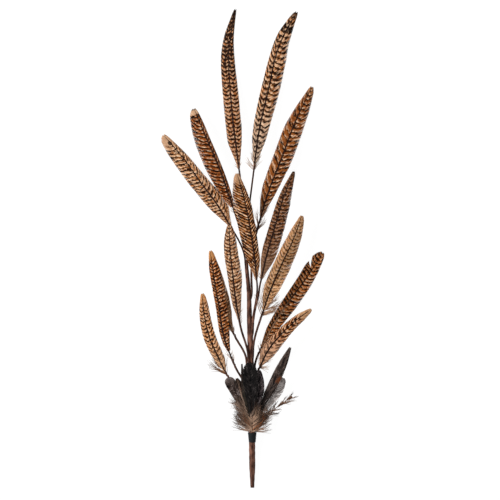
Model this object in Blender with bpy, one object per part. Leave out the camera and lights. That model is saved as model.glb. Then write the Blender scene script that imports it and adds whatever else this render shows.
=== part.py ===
"""A spray of barred pheasant tail feathers, lying on a flat surface.

Fourteen tail feathers stand on taped wires that gather into one taped stem. A collar of
short dark body feathers is held round the stem by a black binding. Metres, +Z up. +Y runs
from the cut foot of the stem to the feather tips, and the origin is under the middle of
the spray's box. Lengths in the tables are millimetres, angles are degrees.
"""
import math

import bmesh
import bpy
from mathutils import Vector
from mathutils.geometry import interpolate_bezier

MM = 0.001
GAP = 0.3              # left between two pieces that touch
END_GAP = 0.4          # between the end of a stem and the stalks that carry on from it
STALK_RADIUS = 1.2     # of a wire that carries on from the end of a stem
SIDE_STALK_RADIUS = 1.5    # of one laid against the side of the main stem
STALK_SIDES = 8
QUILL_RADIUS = 1.25    # at the bare end of a tail feather
QUILL_TIP = 0.45       # where the shaft runs out
VANE_HALF_THICK = 0.55
VANE_DROOP = 0.8       # how far the edges of a vane fall below its shaft
DROOP_HALF_WAY = 0.35  # the share of it reached half way out
FEATHER_RINGS = 15
RING_CROWDING = 1.45   # above 1 the rings of a feather stand closer towards its tip
STALK_POINTS = 7
STEM_SIDES = 12
STEM_AIM_REACH = 5.0   # the stem's direction is read off over this much each way
STATIONS = (0.12, 0.3, 0.5, 0.7, 0.85, 0.95)   # fractions of a feather's length, quill to tip

# main stem: x, y, z of its centre and its radius, foot first
STEM = (
    (14.4, -350.0, 2.6, 2.6), (14.4, -338.0, 3.2, 3.2), (14.4, -319.0, 4.3, 4.3),
    (14.2, -283.0, 7.4, 4.4), (14.1, -268.0, 8.7, 4.2), (13.4, -222.0, 12.5, 4.2),
    (11.9, -165.0, 17.4, 4.3), (11.0, -132.0, 20.2, 4.1), (10.0, -105.0, 22.5, 3.8),
    (9.4, -70.0, 25.5, 3.1), (8.5, -55.0, 26.8, 2.9), (6.1, -31.0, 28.8, 2.6),
    (5.2, -18.0, 29.9, 2.6),
)

# right branch, which leaves the stem at BRANCH_START and carries two of the feathers
BRANCH_START = (-116.0, 45.0)          # y on the stem, angle round it
BRANCH_END = (22.3, -64.5, 35.5)
BRANCH_AIM = (0.1, 1.0, 0.2)
BRANCH_RADIUS = 1.9
BRANCH_POINTS = 6

# tail feathers. shaft: five points from the quill's end to the tip. left, right: half
# widths of the vane at STATIONS. bare: the fraction of the length with no vane. stalk:
# where its wire starts, as y on the stem and the angle round it, or an end and an offset.
TAIL_FEATHERS = {
    "tall_left": dict(
        shaft=((-4, 107, 24), (-12, 168, 17.5), (-18, 229, 9), (-20, 290, 2.4), (-10, 350, 0.7)),
        left=(11.5, 10.8, 10.8, 11, 8.5, 3.8), right=(7.5, 11.5, 11.3, 8.5, 4.2, 2),
        bare=0.04, stalk=("stem_top", 1.4, -1.4)),
    "tall_right": dict(
        shaft=((16, 109, 20), (24, 171, 14), (38, 232, 8), (52, 292, 2.4), (80, 346, 0.7)),
        left=(7.0, 9.2, 10.6, 8.1, 8.9, 5.4), right=(10.2, 13.7, 16.0, 16.2, 9.7, 4.1),
        bare=0.04, stalk=("stem_top", 1.4, 1.4)),
    "upper_right": dict(
        shaft=((20, 21, 27), (36, 77, 21), (57, 131, 13), (77, 184, 4.2), (102, 237, 0.7)),
        left=(3.8, 10.7, 12.0, 12.0, 7.6, 3.8), right=(3.8, 11.4, 15.3, 15.0, 12.0, 6.5),
        bare=0.1, stalk=(-60.0, 5.0)),
    "upper_left": dict(
        shaft=((-7, 38, 31), (-21, 80, 31), (-36, 122, 28), (-54, 163, 22), (-71, 204, 14)),
        left=(4.2, 13.7, 18.9, 17.9, 14.2, 9.5), right=(3.2, 4.8, 4.2, 4.6, 4.8, 3.7),
        bare=0.1, stalk=("stem_top", -1.4, 1.4)),
    "far_left": dict(
        shaft=((-15, 27, 24), (-37, 63, 18.5), (-63, 98, 11), (-88, 133, 3.4), (-116.3, 166, 0.7)),
        left=(8.3, 13.0, 14.6, 15.2, 13.5, 9.4), right=(14.6, 13.0, 10.4, 7.7, 5.2, 3.6),
        bare=0.03, stalk=("stem_top", -1.4, -1.4)),
    "front_tall": dict(
        shaft=((21, -51, 38), (17, -11, 41), (11, 30, 43.5), (3, 69, 43.5), (-8, 109, 40)),
        left=(9.0, 13.9, 16.4, 17.5, 13.7, 6.9), right=(8.0, 7.5, 7.5, 8.1, 5.6, 3.0),
        bare=0.04, stalk=("branch_top", -1.35, 0.0)),
    "front_dark": dict(
        shaft=((26, -51, 39.5), (35, -10, 47), (47, 31, 46.5), (59, 72, 41), (75, 112, 33)),
        left=(5.4, 8.0, 7.9, 7.0, 5.2, 2.7), right=(9.5, 14.0, 13.6, 12.5, 7.8, 3.8),
        bare=0.04, stalk=("branch_top", 1.35, 0.0)),
    "pale_right": dict(
        shaft=((27, -101, 25), (40, -63, 26), (56, -26, 24), (73, 10, 20), (87, 48, 14)),
        left=(5.4, 10.7, 10.6, 10.6, 7.8, 3.7), right=(5.4, 12.3, 13.9, 11.6, 8.9, 5.4),
        bare=0.05, stalk=(-152.0, 50.0)),
    "split_right": dict(
        shaft=((24, -153, 13.5), (44, -114, 9.5), (68, -78, 5), (94, -43, 1.7), (118, -6, 0.7)),
        left=(5.3, 7.0, 8.4, 10.2, 11.9, 7.9), right=(5.6, 10.7, 13.6, 11.9, 9.0, 5.9),
        bare=0.03, stalk=(-176.0, -25.0)),
    "low_right": dict(
        shaft=((24, -176, 21), (37, -149, 22.5), (56, -126, 22), (77, -106, 19), (101, -89, 14)),
        left=(9.5, 9.0, 7.8, 6.2, 5.3, 3.1), right=(9.0, 12.3, 10.6, 8.4, 6.9, 3.9),
        bare=0.03, stalk=(-200.0, 50.0)),
    "centre_left": dict(
        shaft=((-3, -114, 26), (-10, -77, 31), (-14, -40, 34), (-18, -3, 35), (-19, 35, 33)),
        left=(4.4, 6.0, 7.3, 8.7, 8.0, 4.8), right=(4.5, 9.1, 13.2, 11.2, 9.1, 5.4),
        bare=0.07, stalk=(-157.0, 125.0)),
    "mid_left": dict(
        shaft=((-12, -170, 20), (-27, -130, 25), (-34, -87, 28), (-41, -46, 29), (-47, -3, 26)),
        left=(3.1, 4.8, 4.4, 4.8, 5.2, 3.1), right=(3.1, 10.0, 11.2, 11.0, 9.3, 5.2),
        bare=0.1, stalk=(-213.0, 150.0)),
    "behind_left": dict(
        shaft=((-12, -127, 17), (-24, -100, 17), (-31, -70, 15), (-37, -41, 13), (-43, -12, 10)),
        left=(4.5, 5.5, 6, 5.7, 5, 3), right=(4.4, 10, 10.5, 8, 6, 3.5),
        bare=0.04, stalk=(-165.0, 190.0)),
    "low_left": dict(
        shaft=((-22, -187, 8), (-36, -159, 5), (-49, -129, 2.4), (-56, -98, 1.1), (-59, -66, 0.7)),
        left=(4.2, 7.6, 8.4, 7.2, 5.5, 3.1), right=(7.8, 8.7, 9.0, 8.6, 7.5, 4.7),
        bare=0.05, stalk=(-222.0, 205.0)),
}

# collar feathers. angle: where the quill lies round the stem. shaft: the three points
# past the quill. left, right: half widths at STATIONS, narrow where there is only down.
COLLAR_Y = -268.6
COLLAR_QUILL = 0.8
COLLAR_BARE = 0.03
COLLAR_FEATHERS = {
    "front_black": dict(
        angle=90, shaft=((14, -236, 21), (12.5, -206, 27), (10, -166, 31)),
        left=(1.5, 4, 8, 10.5, 10.8, 8), right=(1.5, 4, 8, 10.5, 10.8, 8)),
    "right_black": dict(
        angle=55, shaft=((19, -238, 17), (24, -209, 21.5), (24, -177, 25)),
        left=(1.2, 2.5, 4, 6, 6, 3.5), right=(1.2, 3, 5, 7.5, 6.5, 4)),
    "right_slender": dict(
        angle=20, shaft=((27, -234, 15), (48, -191, 19), (70, -144, 20)),
        left=(1.2, 3.2, 6.2, 6.8, 5, 2.8), right=(1.2, 3.2, 6.6, 7.2, 5.6, 2.8)),
    "right_grey": dict(
        angle=-12, shaft=((27, -243, 9.5), (43, -217, 11), (60, -189, 11)),
        left=(1.2, 2.5, 4.5, 6, 5.5, 3.5), right=(1.2, 2.8, 6.2, 9.6, 9.2, 6.2)),
    "right_brown": dict(
        angle=-45, shaft=((29, -251, 4.5), (50, -233, 4), (73, -217, 3.5)),
        left=(1, 2.2, 3.5, 3.5, 2.5, 1.5), right=(1, 2.2, 3.5, 3.5, 2.5, 1.5)),
    "back_right": dict(
        angle=-80, shaft=((17, -238, 1.5), (22, -210, 0.8), (26, -185, 0.7)),
        left=(1, 2.5, 5.5, 7.5, 6, 3.5), right=(1, 2.5, 5.5, 7.5, 6, 3.5)),
    "back_left": dict(
        angle=-118, shaft=((8, -240, 1.7), (1, -213, 0.8), (-9, -190, 0.7)),
        left=(1, 2.5, 5, 6.5, 5.5, 3), right=(1, 2.5, 5, 6.5, 5.5, 3)),
    "left_brown": dict(
        angle=190, shaft=((3, -238, 11.5), (-9.5, -211, 14.5), (-21.5, -188.5, 16)),
        left=(1.2, 2.5, 5.5, 7, 8, 7.5), right=(1.2, 2.5, 5, 6.5, 7.5, 7)),
    "left_sliver": dict(
        angle=157, shaft=((5, -236, 15.5), (1, -203, 20), (-1, -168, 24)),
        left=(0.9, 1.4, 2, 2.4, 2, 1.2), right=(0.9, 1.4, 2, 2.4, 2, 1.2)),
    "left_green": dict(
        angle=124, shaft=((10, -240, 18), (6, -216, 22.5), (3.5, -193, 25)),
        left=(1.2, 2.2, 4, 5, 4.5, 3), right=(1.2, 2.2, 4, 5, 4.5, 3)),
}

# black binding, a turned ring round the stem: its lower and upper edge along the stem
BINDING_LOW = -283.0
BINDING_HIGH = -269.6
BINDING_SIDES = 24
BINDING_RADII = (4.95, 5.2, 5.45, 5.7, 5.85)   # outside, from the lower edge to the upper

TAN = (0.50, 0.33, 0.20)
BARK = (0.13, 0.07, 0.05)
SOOT = (0.03, 0.027, 0.025)
BLACK = (0.012, 0.014, 0.015)


def clear_scene():
    for old in list(bpy.data.objects):
        bpy.data.objects.remove(old, do_unlink=True)


def new_collection(name):
    group = bpy.data.collections.new(name)
    bpy.context.scene.collection.children.link(group)
    return group


def material(name, colour, roughness):
    made = bpy.data.materials.new(name)
    made.use_nodes = True
    shader = made.node_tree.nodes["Principled BSDF"]
    shader.inputs["Base Color"].default_value = (*colour, 1.0)
    shader.inputs["Roughness"].default_value = roughness
    shader.inputs["Metallic"].default_value = 0.0
    return made


def lerp(a, b, share):
    return a + (b - a) * share


def read_off(places, values, at):
    """The value at a place between two listed ones, on a straight line between them."""
    at = min(max(at, places[0]), places[-1])
    for low in range(len(places) - 1):
        if at <= places[low + 1]:
            break
    share = (at - places[low]) / (places[low + 1] - places[low])
    return lerp(values[low], values[low + 1], share)


def smooth_path(points, fractions):
    """Points at fractions of the length of the smooth curve through the given points."""
    points = [Vector(p) for p in points]
    ends = [points[0] * 2 - points[1], *points, points[-1] * 2 - points[-2]]
    steps = 24
    fine = []
    for before, start, stop, after in zip(ends, ends[1:], ends[2:], ends[3:]):
        lean_in = start + (stop - before) / 6
        lean_out = stop - (after - start) / 6
        fine += interpolate_bezier(start, lean_in, lean_out, stop, steps)[:-1]
    fine.append(points[-1])
    run = [0.0]
    for a, b in zip(fine, fine[1:]):
        run.append(run[-1] + (b - a).length)
    return [read_off(run, fine, fraction * run[-1]) for fraction in fractions]


def stem_at(y):
    """Centre, direction and radius of the main stem where it crosses y."""
    along = [p[1] for p in STEM]
    centre = read_off(along, [Vector(p[:3]) for p in STEM], y)
    ahead = read_off(along, [Vector(p[:3]) for p in STEM], y + STEM_AIM_REACH)
    behind = read_off(along, [Vector(p[:3]) for p in STEM], y - STEM_AIM_REACH)
    radius = read_off(along, [p[3] for p in STEM], y)
    return centre, (ahead - behind).normalized(), radius


def beside_stem(y, angle, radius):
    """The centre of a round piece of that radius, laid against the stem at an angle."""
    centre, aim, stem_radius = stem_at(y)
    turn = math.radians(angle)
    side = Vector((math.cos(turn), 0, math.sin(turn)))
    return centre + side * (stem_radius + GAP + radius), aim


def add_mesh(name, bm, group, colour, roughness):
    """An object from a bmesh in millimetres."""
    bmesh.ops.scale(bm, vec=(MM, MM, MM), verts=bm.verts)
    bmesh.ops.recalc_face_normals(bm, faces=bm.faces)
    mesh = bpy.data.meshes.new(name)
    bm.to_mesh(mesh)
    bm.free()
    mesh.shade_smooth()
    mesh.set_sharp_from_angle(angle=math.radians(50))
    made = bpy.data.objects.new(name, mesh)
    group.objects.link(made)
    mesh.materials.append(material(name, colour, roughness))
    return made


def add_tube(name, points, radii, sides, group, colour):
    """A wire or stem: a curve along points in millimetres, with closed ends."""
    curve = bpy.data.curves.new(name, "CURVE")
    curve.dimensions = "3D"
    curve.bevel_depth = MM
    curve.bevel_resolution = (sides - 4) // 2
    curve.use_fill_caps = True
    spline = curve.splines.new("POLY")
    spline.points.add(len(points) - 1)
    for knot, place, radius in zip(spline.points, points, radii):
        knot.co = (*(Vector(place) * MM), 1.0)
        knot.radius = radius
    made = bpy.data.objects.new(name, curve)
    group.objects.link(made)
    curve.materials.append(material(name, colour, 0.8))
    return made


def half_width(fraction, widths, bare, quill):
    """Half width of a vane: the bare quill, then the listed widths, then a round tip."""
    if fraction <= bare:
        return quill
    if fraction >= STATIONS[-1]:
        past = (fraction - STATIONS[-1]) / (1 - STATIONS[-1])
        return max(widths[-1] * math.sqrt(1 - past * past), 2 * QUILL_TIP)
    return read_off((bare, *STATIONS), (quill, *widths), fraction)


def section(left, right, quill, is_quill):
    """Eight corners of a feather's cross section: across to the left, and up."""
    if is_quill:
        eighth = math.pi / 4
        return [(quill * math.cos(k * eighth), quill * math.sin(k * eighth)) for k in range(8)]
    drop = VANE_DROOP * DROOP_HALF_WAY
    thick = min(VANE_HALF_THICK, quill)
    return [
        (left, -VANE_DROOP), (left / 2, thick - drop), (0, quill), (-right / 2, thick - drop),
        (-right, -VANE_DROOP), (-right / 2, -thick - drop), (0, -quill), (left / 2, -thick - drop),
    ]


def add_feather(name, shaft, left, right, bare, quill, group, colour):
    """One feather as a closed blade along its shaft, quill end first."""
    last = FEATHER_RINGS - 1
    fractions = [1 - (1 - ring / last) ** RING_CROWDING for ring in range(FEATHER_RINGS)]
    fractions[1] = bare if bare else fractions[1] / 2
    centres = smooth_path(shaft, fractions)
    bm = bmesh.new()
    bmesh.ops.create_cone(bm, cap_ends=True, segments=8, radius1=1, radius2=1, depth=last)
    long_edges = [e for e in bm.edges if abs(e.verts[0].co.z - e.verts[1].co.z) > 0.5]
    bmesh.ops.subdivide_edges(bm, edges=long_edges, cuts=last - 1, use_grid_fill=True)
    for corner in bm.verts:
        ring = round(corner.co.z + last / 2)
        spoke = round(math.atan2(corner.co.y, corner.co.x) / (math.pi / 4)) % 8
        behind = centres[max(ring - 1, 0)]
        ahead = centres[min(ring + 1, last)]
        aim = (ahead - behind).normalized()
        leftward = Vector((0, 0, 1)).cross(aim).normalized()
        upward = aim.cross(leftward)
        at = fractions[ring]
        shaft_radius = lerp(quill, QUILL_TIP, at)
        across, up = section(
            half_width(at, left, bare, quill), half_width(at, right, bare, quill),
            shaft_radius, at <= bare)[spoke]
        corner.co = centres[ring] + leftward * across + upward * up
        corner.co.z = max(corner.co.z, 0.0)
    return add_mesh(name, bm, group, colour, 0.7)


def stalk_start(stalk):
    """Where a stalk begins, its direction there, and its radius."""
    if stalk[0] == "stem_top":
        centre, aim, _ = stem_at(STEM[-1][1])
        offset = Vector((stalk[1], 0, stalk[2]))
        return centre + offset + aim * END_GAP, aim, STALK_RADIUS
    if stalk[0] == "branch_top":
        aim = Vector(BRANCH_AIM).normalized()
        offset = Vector((stalk[1], 0, stalk[2]))
        return Vector(BRANCH_END) + offset + aim * END_GAP, aim, STALK_RADIUS
    return *beside_stem(*stalk, SIDE_STALK_RADIUS), SIDE_STALK_RADIUS


def bend(start, start_aim, end, end_aim, count):
    """Points of one smooth bend between two places, leaving each along its direction."""
    reach = (end - start).length / 3
    return interpolate_bezier(start, start + start_aim * reach, end - end_aim * reach, end, count)


def add_stalk(name, spec, group):
    quill_end, next_point = smooth_path(spec["shaft"], (0.0, 0.02))
    quill_aim = (next_point - quill_end).normalized()
    start, aim, radius = stalk_start(spec["stalk"])
    end = quill_end - quill_aim * GAP
    points = bend(start, aim, end, quill_aim, STALK_POINTS)
    add_tube(name, points, [radius] * STALK_POINTS, STALK_SIDES, group, BARK)


def add_branch(group):
    start, aim = beside_stem(*BRANCH_START, BRANCH_RADIUS)
    points = bend(start, aim, Vector(BRANCH_END), Vector(BRANCH_AIM).normalized(), BRANCH_POINTS)
    radii = [BRANCH_RADIUS] * BRANCH_POINTS
    add_tube("right_branch", points, radii, STALK_SIDES, group, BARK)


def add_collar_feather(name, spec, group):
    start, aim = beside_stem(COLLAR_Y, spec["angle"], COLLAR_QUILL)
    shaft = (start, *spec["shaft"])
    add_feather(name, shaft, spec["left"], spec["right"], COLLAR_BARE, COLLAR_QUILL, group, SOOT)


def add_binding(group):
    """A turned ring, its axis along the stem."""
    middle = (BINDING_LOW + BINDING_HIGH) / 2
    centre, aim, _ = stem_at(middle)
    inner = max(stem_at(BINDING_LOW)[2], stem_at(BINDING_HIGH)[2]) + GAP
    half = (BINDING_HIGH - BINDING_LOW) / 2
    count = len(BINDING_RADII)
    outside = [(r, lerp(-half, half, k / (count - 1))) for k, r in enumerate(BINDING_RADII)]
    profile = [(inner, -half), (inner, half), *reversed(outside)]
    bm = bmesh.new()
    corners = [bm.verts.new((x, 0, z)) for x, z in profile]
    for a, b in zip(corners, corners[1:] + corners[:1]):
        bm.edges.new((a, b))
    turn = Vector((0, 0, 1)).rotation_difference(aim).to_matrix().to_4x4()
    bmesh.ops.spin(
        bm, geom=bm.verts[:] + bm.edges[:], cent=(0, 0, 0), axis=(0, 0, 1),
        angle=2 * math.pi, steps=BINDING_SIDES, use_merge=True)
    bmesh.ops.transform(bm, matrix=turn, verts=bm.verts)
    bmesh.ops.translate(bm, vec=centre, verts=bm.verts)
    add_mesh("binding", bm, group, BLACK, 0.6)


def centre_on_origin(group):
    """Moves the whole spray so that the origin is under the middle of its box."""
    bpy.context.view_layer.update()
    corners = [made.matrix_world @ Vector(c) for made in group.objects for c in made.bound_box]
    low = Vector([min(c[axis] for c in corners) for axis in range(3)])
    high = Vector([max(c[axis] for c in corners) for axis in range(3)])
    middle = (low + high) / 2
    for made in group.objects:
        made.location -= Vector((middle.x, middle.y, low.z))


def main():
    clear_scene()
    spray = new_collection("pheasant_feather_spray")
    add_tube("main_stem", [p[:3] for p in STEM], [p[3] for p in STEM], STEM_SIDES, spray, BARK)
    add_branch(spray)
    for name, spec in TAIL_FEATHERS.items():
        add_feather(f"feather_{name}", spec["shaft"], spec["left"], spec["right"],
                    spec["bare"], QUILL_RADIUS, spray, TAN)
        add_stalk(f"stalk_{name}", spec, spray)
    for name, spec in COLLAR_FEATHERS.items():
        add_collar_feather(f"collar_{name}", spec, spray)
    add_binding(spray)
    centre_on_origin(spray)


main()
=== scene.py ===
import math

import bmesh
import bpy
import numpy as np
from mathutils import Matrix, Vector


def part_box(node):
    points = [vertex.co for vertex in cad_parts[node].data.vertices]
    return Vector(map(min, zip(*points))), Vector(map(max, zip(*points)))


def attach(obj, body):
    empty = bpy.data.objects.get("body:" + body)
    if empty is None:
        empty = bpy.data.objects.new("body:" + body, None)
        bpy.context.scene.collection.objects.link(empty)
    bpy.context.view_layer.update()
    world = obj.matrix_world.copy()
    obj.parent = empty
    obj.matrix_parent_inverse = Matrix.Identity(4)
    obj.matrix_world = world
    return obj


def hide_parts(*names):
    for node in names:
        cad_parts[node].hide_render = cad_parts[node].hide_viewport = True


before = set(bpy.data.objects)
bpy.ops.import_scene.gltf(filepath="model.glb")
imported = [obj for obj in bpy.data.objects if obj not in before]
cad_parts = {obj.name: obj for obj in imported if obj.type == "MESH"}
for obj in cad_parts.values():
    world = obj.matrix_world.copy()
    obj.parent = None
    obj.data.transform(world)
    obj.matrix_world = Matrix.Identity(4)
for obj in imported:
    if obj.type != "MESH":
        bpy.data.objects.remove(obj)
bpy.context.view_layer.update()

# ---------------------------------------------------------------------------------------
# Tail feathers. Each grew as one piece: a dark tapering shaft, and on each side a vane of
# some hundreds of barbs that lie against one another like the teeth of a fine comb. Near
# the quill the barbs are loose and pale. The barring is in the barbs themselves.

BARB_PITCH = 0.00052       # between the roots of two barbs, along the shaft
BARB_STEPS = 7             # faces along one barb
BARB_THICK = 0.00011
BARB_ANGLE = math.radians(34)      # between a barb and the shaft
BARB_LOWEST = 0.00005      # the least height of a barb's corners
TUBE_LOWEST = 0.00004
VANE_CAMBER = 0.0007       # how far a vane bulges between its shaft and its edge
VANE_END = 0.99            # where the last barb is rooted, as a share of the length
CLUMP_CHANCE = 0.11        # that a barb starts a new clump
SPLIT_REACH = 0.006        # the distance over which a split's push on the barbs fades
TUFT_SIZE = 9              # loose barbs in a tuft
WISP_LOW = 0.01            # where the lowest loose barbs are rooted
WISP_ABOVE = 0.06          # and how far above the start of the vane the highest are
WISP_DROOP = 24            # degrees more that the lowest ones lean out
WISP_GAUGE = 0.0005        # the radius of a loose barb at its root
WISP_LIFT = 0.05           # how unevenly their tufts rise, as a share of their reach
WISP_FALL = 0.12           # and how far they hang on average
SHAFT_RINGS = 70
SHAFT_SIDES = 12
SHAFT_RAISE = 0.0001       # how far a shaft stands up from between its vanes
SHAFT_THIN, SHAFT_THICK = 0.0004, 0.0013
TAIL_SLICES = 90
TAIL_SEED = 100
TAIL_PATTERN = 7.3         # between the noise of two feathers
ARRAY_PITCH = 4.0          # between barbs while they still stand in a straight row

# A feather's own map, from left to right: loose barbs, the shaft, then both vanes.
LOOSE_LOW, LOOSE_HIGH = 0.002, 0.022
LOOSE_EDGE = (0.022, 0.026)
SHAFT_LOW, SHAFT_HIGH = 0.03, 0.08
SHAFT_BAND = (0.055, 0.032, 0.002)
SHAFT_EDGE = (0.088, 0.092)
VANE_LOW, VANE_HIGH = 0.1, 1.0
VANE_MIDDLE = (VANE_LOW + VANE_HIGH) / 2
VANE_REACH = (VANE_HIGH - VANE_LOW) / 2

# The sizes of a tail feather's markings, along the feather.
GRAIN = 0.0011
FLECK = 0.0017
BLOB = 0.0042
BLOT = 0.0055


def srgb(red, green, blue):
    """A colour given as it looks on a screen, 0 to 255, as the shader needs it."""
    parts = [value / 255 for value in (red, green, blue)]
    linear = [p / 12.92 if p <= 0.04045 else ((p + 0.055) / 1.055) ** 2.4 for p in parts]
    return (*linear, 1.0)


def unit(vectors):
    return vectors / np.maximum(np.linalg.norm(vectors, axis=-1, keepdims=True), 1e-9)


def read_off(table, at):
    """Rows of a table at shares of the way along it, each on a straight line between two."""
    places = np.linspace(0, 1, len(table))
    return np.stack([np.interp(at, places, column) for column in table.T], axis=-1)


def smoothed(table, reach):
    """The table with its corners taken off, its two ends kept."""
    padded = np.concatenate([[table[0]] * reach, table, [table[-1]] * reach])
    window = np.hanning(2 * reach + 3)[1:-1]
    columns = [np.convolve(column, window / window.sum(), "valid") for column in padded.T]
    soft = np.stack(columns, axis=-1)
    soft[0], soft[-1] = table[0], table[-1]
    return soft


def ease(values, low, high):
    """0 below low, 1 above high, and a smooth rise between."""
    share = np.clip((values - low) / (high - low), 0, 1)
    return share * share * (3 - 2 * share)


def read_corners(mesh):
    """The places of a mesh's vertices, one row for each."""
    corners = np.empty(len(mesh.vertices) * 3)
    mesh.vertices.foreach_get("co", corners)
    return corners.reshape(-1, 3)


def read_edges(node):
    """A CAD node's vertices, and the start and the end of each of its edges."""
    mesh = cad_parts[node].data
    corners = read_corners(mesh)
    edges = np.empty(len(mesh.edges) * 2, np.int64)
    mesh.edges.foreach_get("vertices", edges)
    starts, ends = corners[edges.reshape(-1, 2)].transpose(1, 0, 2)
    return corners, starts, ends


def crossings(starts, ends, near, far, place):
    """Where edges cross a slice. near and far say how far along their two ends lie."""
    cut = (near - place) * (far - place) < 0
    share = ((place - near[cut]) / (far[cut] - near[cut]))[:, None]
    return starts[cut] + (ends[cut] - starts[cut]) * share


def read_blade(node, slices):
    """A CAD feather read in slices from its quill to its tip: shaft, edges and radius."""
    corners, starts, ends = read_edges(node)
    quill = corners[corners[:, 1] < corners[:, 1].min() + 0.0012].mean(0)
    reach = np.linalg.norm(corners - quill, axis=1)
    tip = corners[reach > reach.max() - 0.0008].mean(0)
    axis = unit(tip - quill)
    across = unit(np.cross(axis, (0, 0, 1)))
    up = np.cross(across, axis)
    near, far = (starts - quill) @ axis, (ends - quill) @ axis
    rows = []
    for place in np.linspace(0.0004, np.linalg.norm(tip - quill) - 0.0002, slices):
        points = crossings(starts, ends, near, far, place)
        side = points @ across
        left, right = points[side.argmin()], points[side.argmax()]
        slope = (right - left) @ up / max(side.max() - side.min(), 1e-6)
        height = (points - left) @ up - slope * (side - side.min())
        ridge = points[height.argmax()]
        under = points[np.abs(side - side[height.argmax()]) < 0.0005] @ up
        radius = min(max((under.max() - under.min()) / 2, SHAFT_THIN), SHAFT_THICK)
        rows.append(np.concatenate([ridge - up * radius, left, right, [radius]]))
    rows = smoothed(np.array(rows), 3)
    middle = rows[:, 0:3]
    aim = unit(np.gradient(middle, axis=0))
    length = np.linalg.norm(np.diff(middle, axis=0), axis=1).sum()
    return dict(middle=middle, left=rows[:, 3:6], right=rows[:, 6:9], radius=rows[:, 9:],
                aim=aim, up=up, length=length)


def straight_tube(sides, steps):
    """A closed tube of radius 1 that stands from 0 to 1, with rings to bend it by."""
    bm = bmesh.new()
    bmesh.ops.create_cone(bm, cap_ends=True, segments=sides, radius1=1, radius2=1, depth=1)
    long_edges = [e for e in bm.edges if abs(e.verts[0].co.z - e.verts[1].co.z) > 0.5]
    bmesh.ops.subdivide_edges(bm, edges=long_edges, cuts=steps - 1, use_grid_fill=True)
    bmesh.ops.translate(bm, vec=(0, 0, 0.5), verts=bm.verts)
    mesh = bpy.data.meshes.new("straight")
    bm.to_mesh(mesh)
    bm.free()
    return mesh


def row_of_barbs(count):
    """Straight barbs side by side: one three-sided spike, closed at its ends, and copies."""
    barb = bpy.data.objects.new("barb", straight_tube(3, BARB_STEPS))
    bpy.context.scene.collection.objects.link(barb)
    array = barb.modifiers.new("row", "ARRAY")
    array.use_relative_offset = False
    array.use_constant_offset = True
    array.constant_offset_displace = (ARRAY_PITCH, 0, 0)
    array.count = count
    bpy.context.view_layer.update()
    evaluated = barb.evaluated_get(bpy.context.evaluated_depsgraph_get())
    row = bpy.data.meshes.new_from_object(evaluated)
    bpy.data.objects.remove(barb)
    return row


def vane_barbs(blade, side, start, rng, ragged, splits, pitch):
    """One vane's barbs as columns of numbers: where each is rooted, how far it sweeps
    forward, how long it is, and how its clump pulls its end along and off the vane."""
    count = int(blade["length"] * (VANE_END - start) / pitch)
    root = start + (VANE_END - start) * (np.arange(count) + 0.5) / count
    edge = read_off(blade["left" if side < 0 else "right"], root)
    width = np.linalg.norm(edge - read_off(blade["middle"], root), axis=1)
    sweep = width / math.tan(BARB_ANGLE) / blade["length"]
    sweep = np.maximum(sweep, 0.02) * (0.35 + 0.65 * ease(root, start, start + 0.12))
    sweep = sweep * (1 - np.exp(-(1 - root) / sweep))
    clump = np.cumsum(rng.random(count) < CLUMP_CHANCE)
    clumps = clump.max() + 1
    middle = np.bincount(clump, root, clumps) / np.maximum(np.bincount(clump), 1)
    pinch = (rng.random(clumps) ** 8 * 0.25 * ragged)[clump]
    shift = (middle[clump] - root) * blade["length"] * pinch
    shift += (rng.normal(0, 0.00006, clumps) * ragged)[clump]
    lift = (rng.normal(0, 0.0001, clumps))[clump] + rng.normal(0, 0.00003, count)
    length = 1.05 - (rng.random(clumps) ** 6 * 0.09 * ragged)[clump] + rng.normal(0, 0.008, count)
    open_from = np.full(count, 0.55)
    for split_side, at, inner, gap in splits:
        if split_side != side:
            continue
        away = root + sweep * 0.5 - at
        near = np.exp(-np.abs(away) * blade["length"] / SPLIT_REACH)
        shift += np.sign(away) * gap / 2 * near
        open_from = np.where(near > 0.25, inner, open_from)
    return dict(side=np.full(count, side), root=root, sweep=sweep, length=length, shift=shift,
                lift=lift, open_from=open_from, spread=np.zeros(count), reach=np.zeros(count),
                tone=np.zeros(count), curl=np.zeros(count), wave=np.zeros(count),
                gauge=np.full(count, pitch))


def loose_barbs(blade, side, count, low, high, reach, spread, droop, rng, gauge, lift, fall=0.0):
    """Barbs that hang free of the vane: they stand out from the shaft in tufts, and curl.
    The lowest ones lean out by droop degrees more."""
    tufts = max(count // TUFT_SIZE, 2)
    tuft = rng.integers(0, tufts, count)
    within = rng.random(count)
    root = low + (high - low) * (tuft + within) / tufts
    lean = rng.normal(spread, 12, tufts)[tuft] + rng.normal(0, 2.0, count)
    off_middle = (within - 0.5) * (high - low) / tufts * blade["length"]
    lean += np.degrees(off_middle / reach) * 0.7
    lean += droop * ((high - root) / (high - low)) ** 3
    size = (0.65 + 0.5 * rng.random(tufts))[tuft] * (0.75 + 0.3 * rng.random(count))
    tone = (rng.random(tufts) * 0.75)[tuft] + rng.random(count) * 0.25
    zero = np.zeros(count)
    return dict(side=np.full(count, side), root=root, sweep=zero, length=zero + 1, shift=zero,
                lift=rng.normal(-fall, lift, tufts)[tuft], open_from=zero + 0.5,
                spread=np.radians(lean), reach=reach * size, tone=tone,
                curl=rng.normal(0.25, 0.18, count), wave=rng.normal(0, 0.05, count),
                gauge=np.full(count, gauge))


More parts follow.
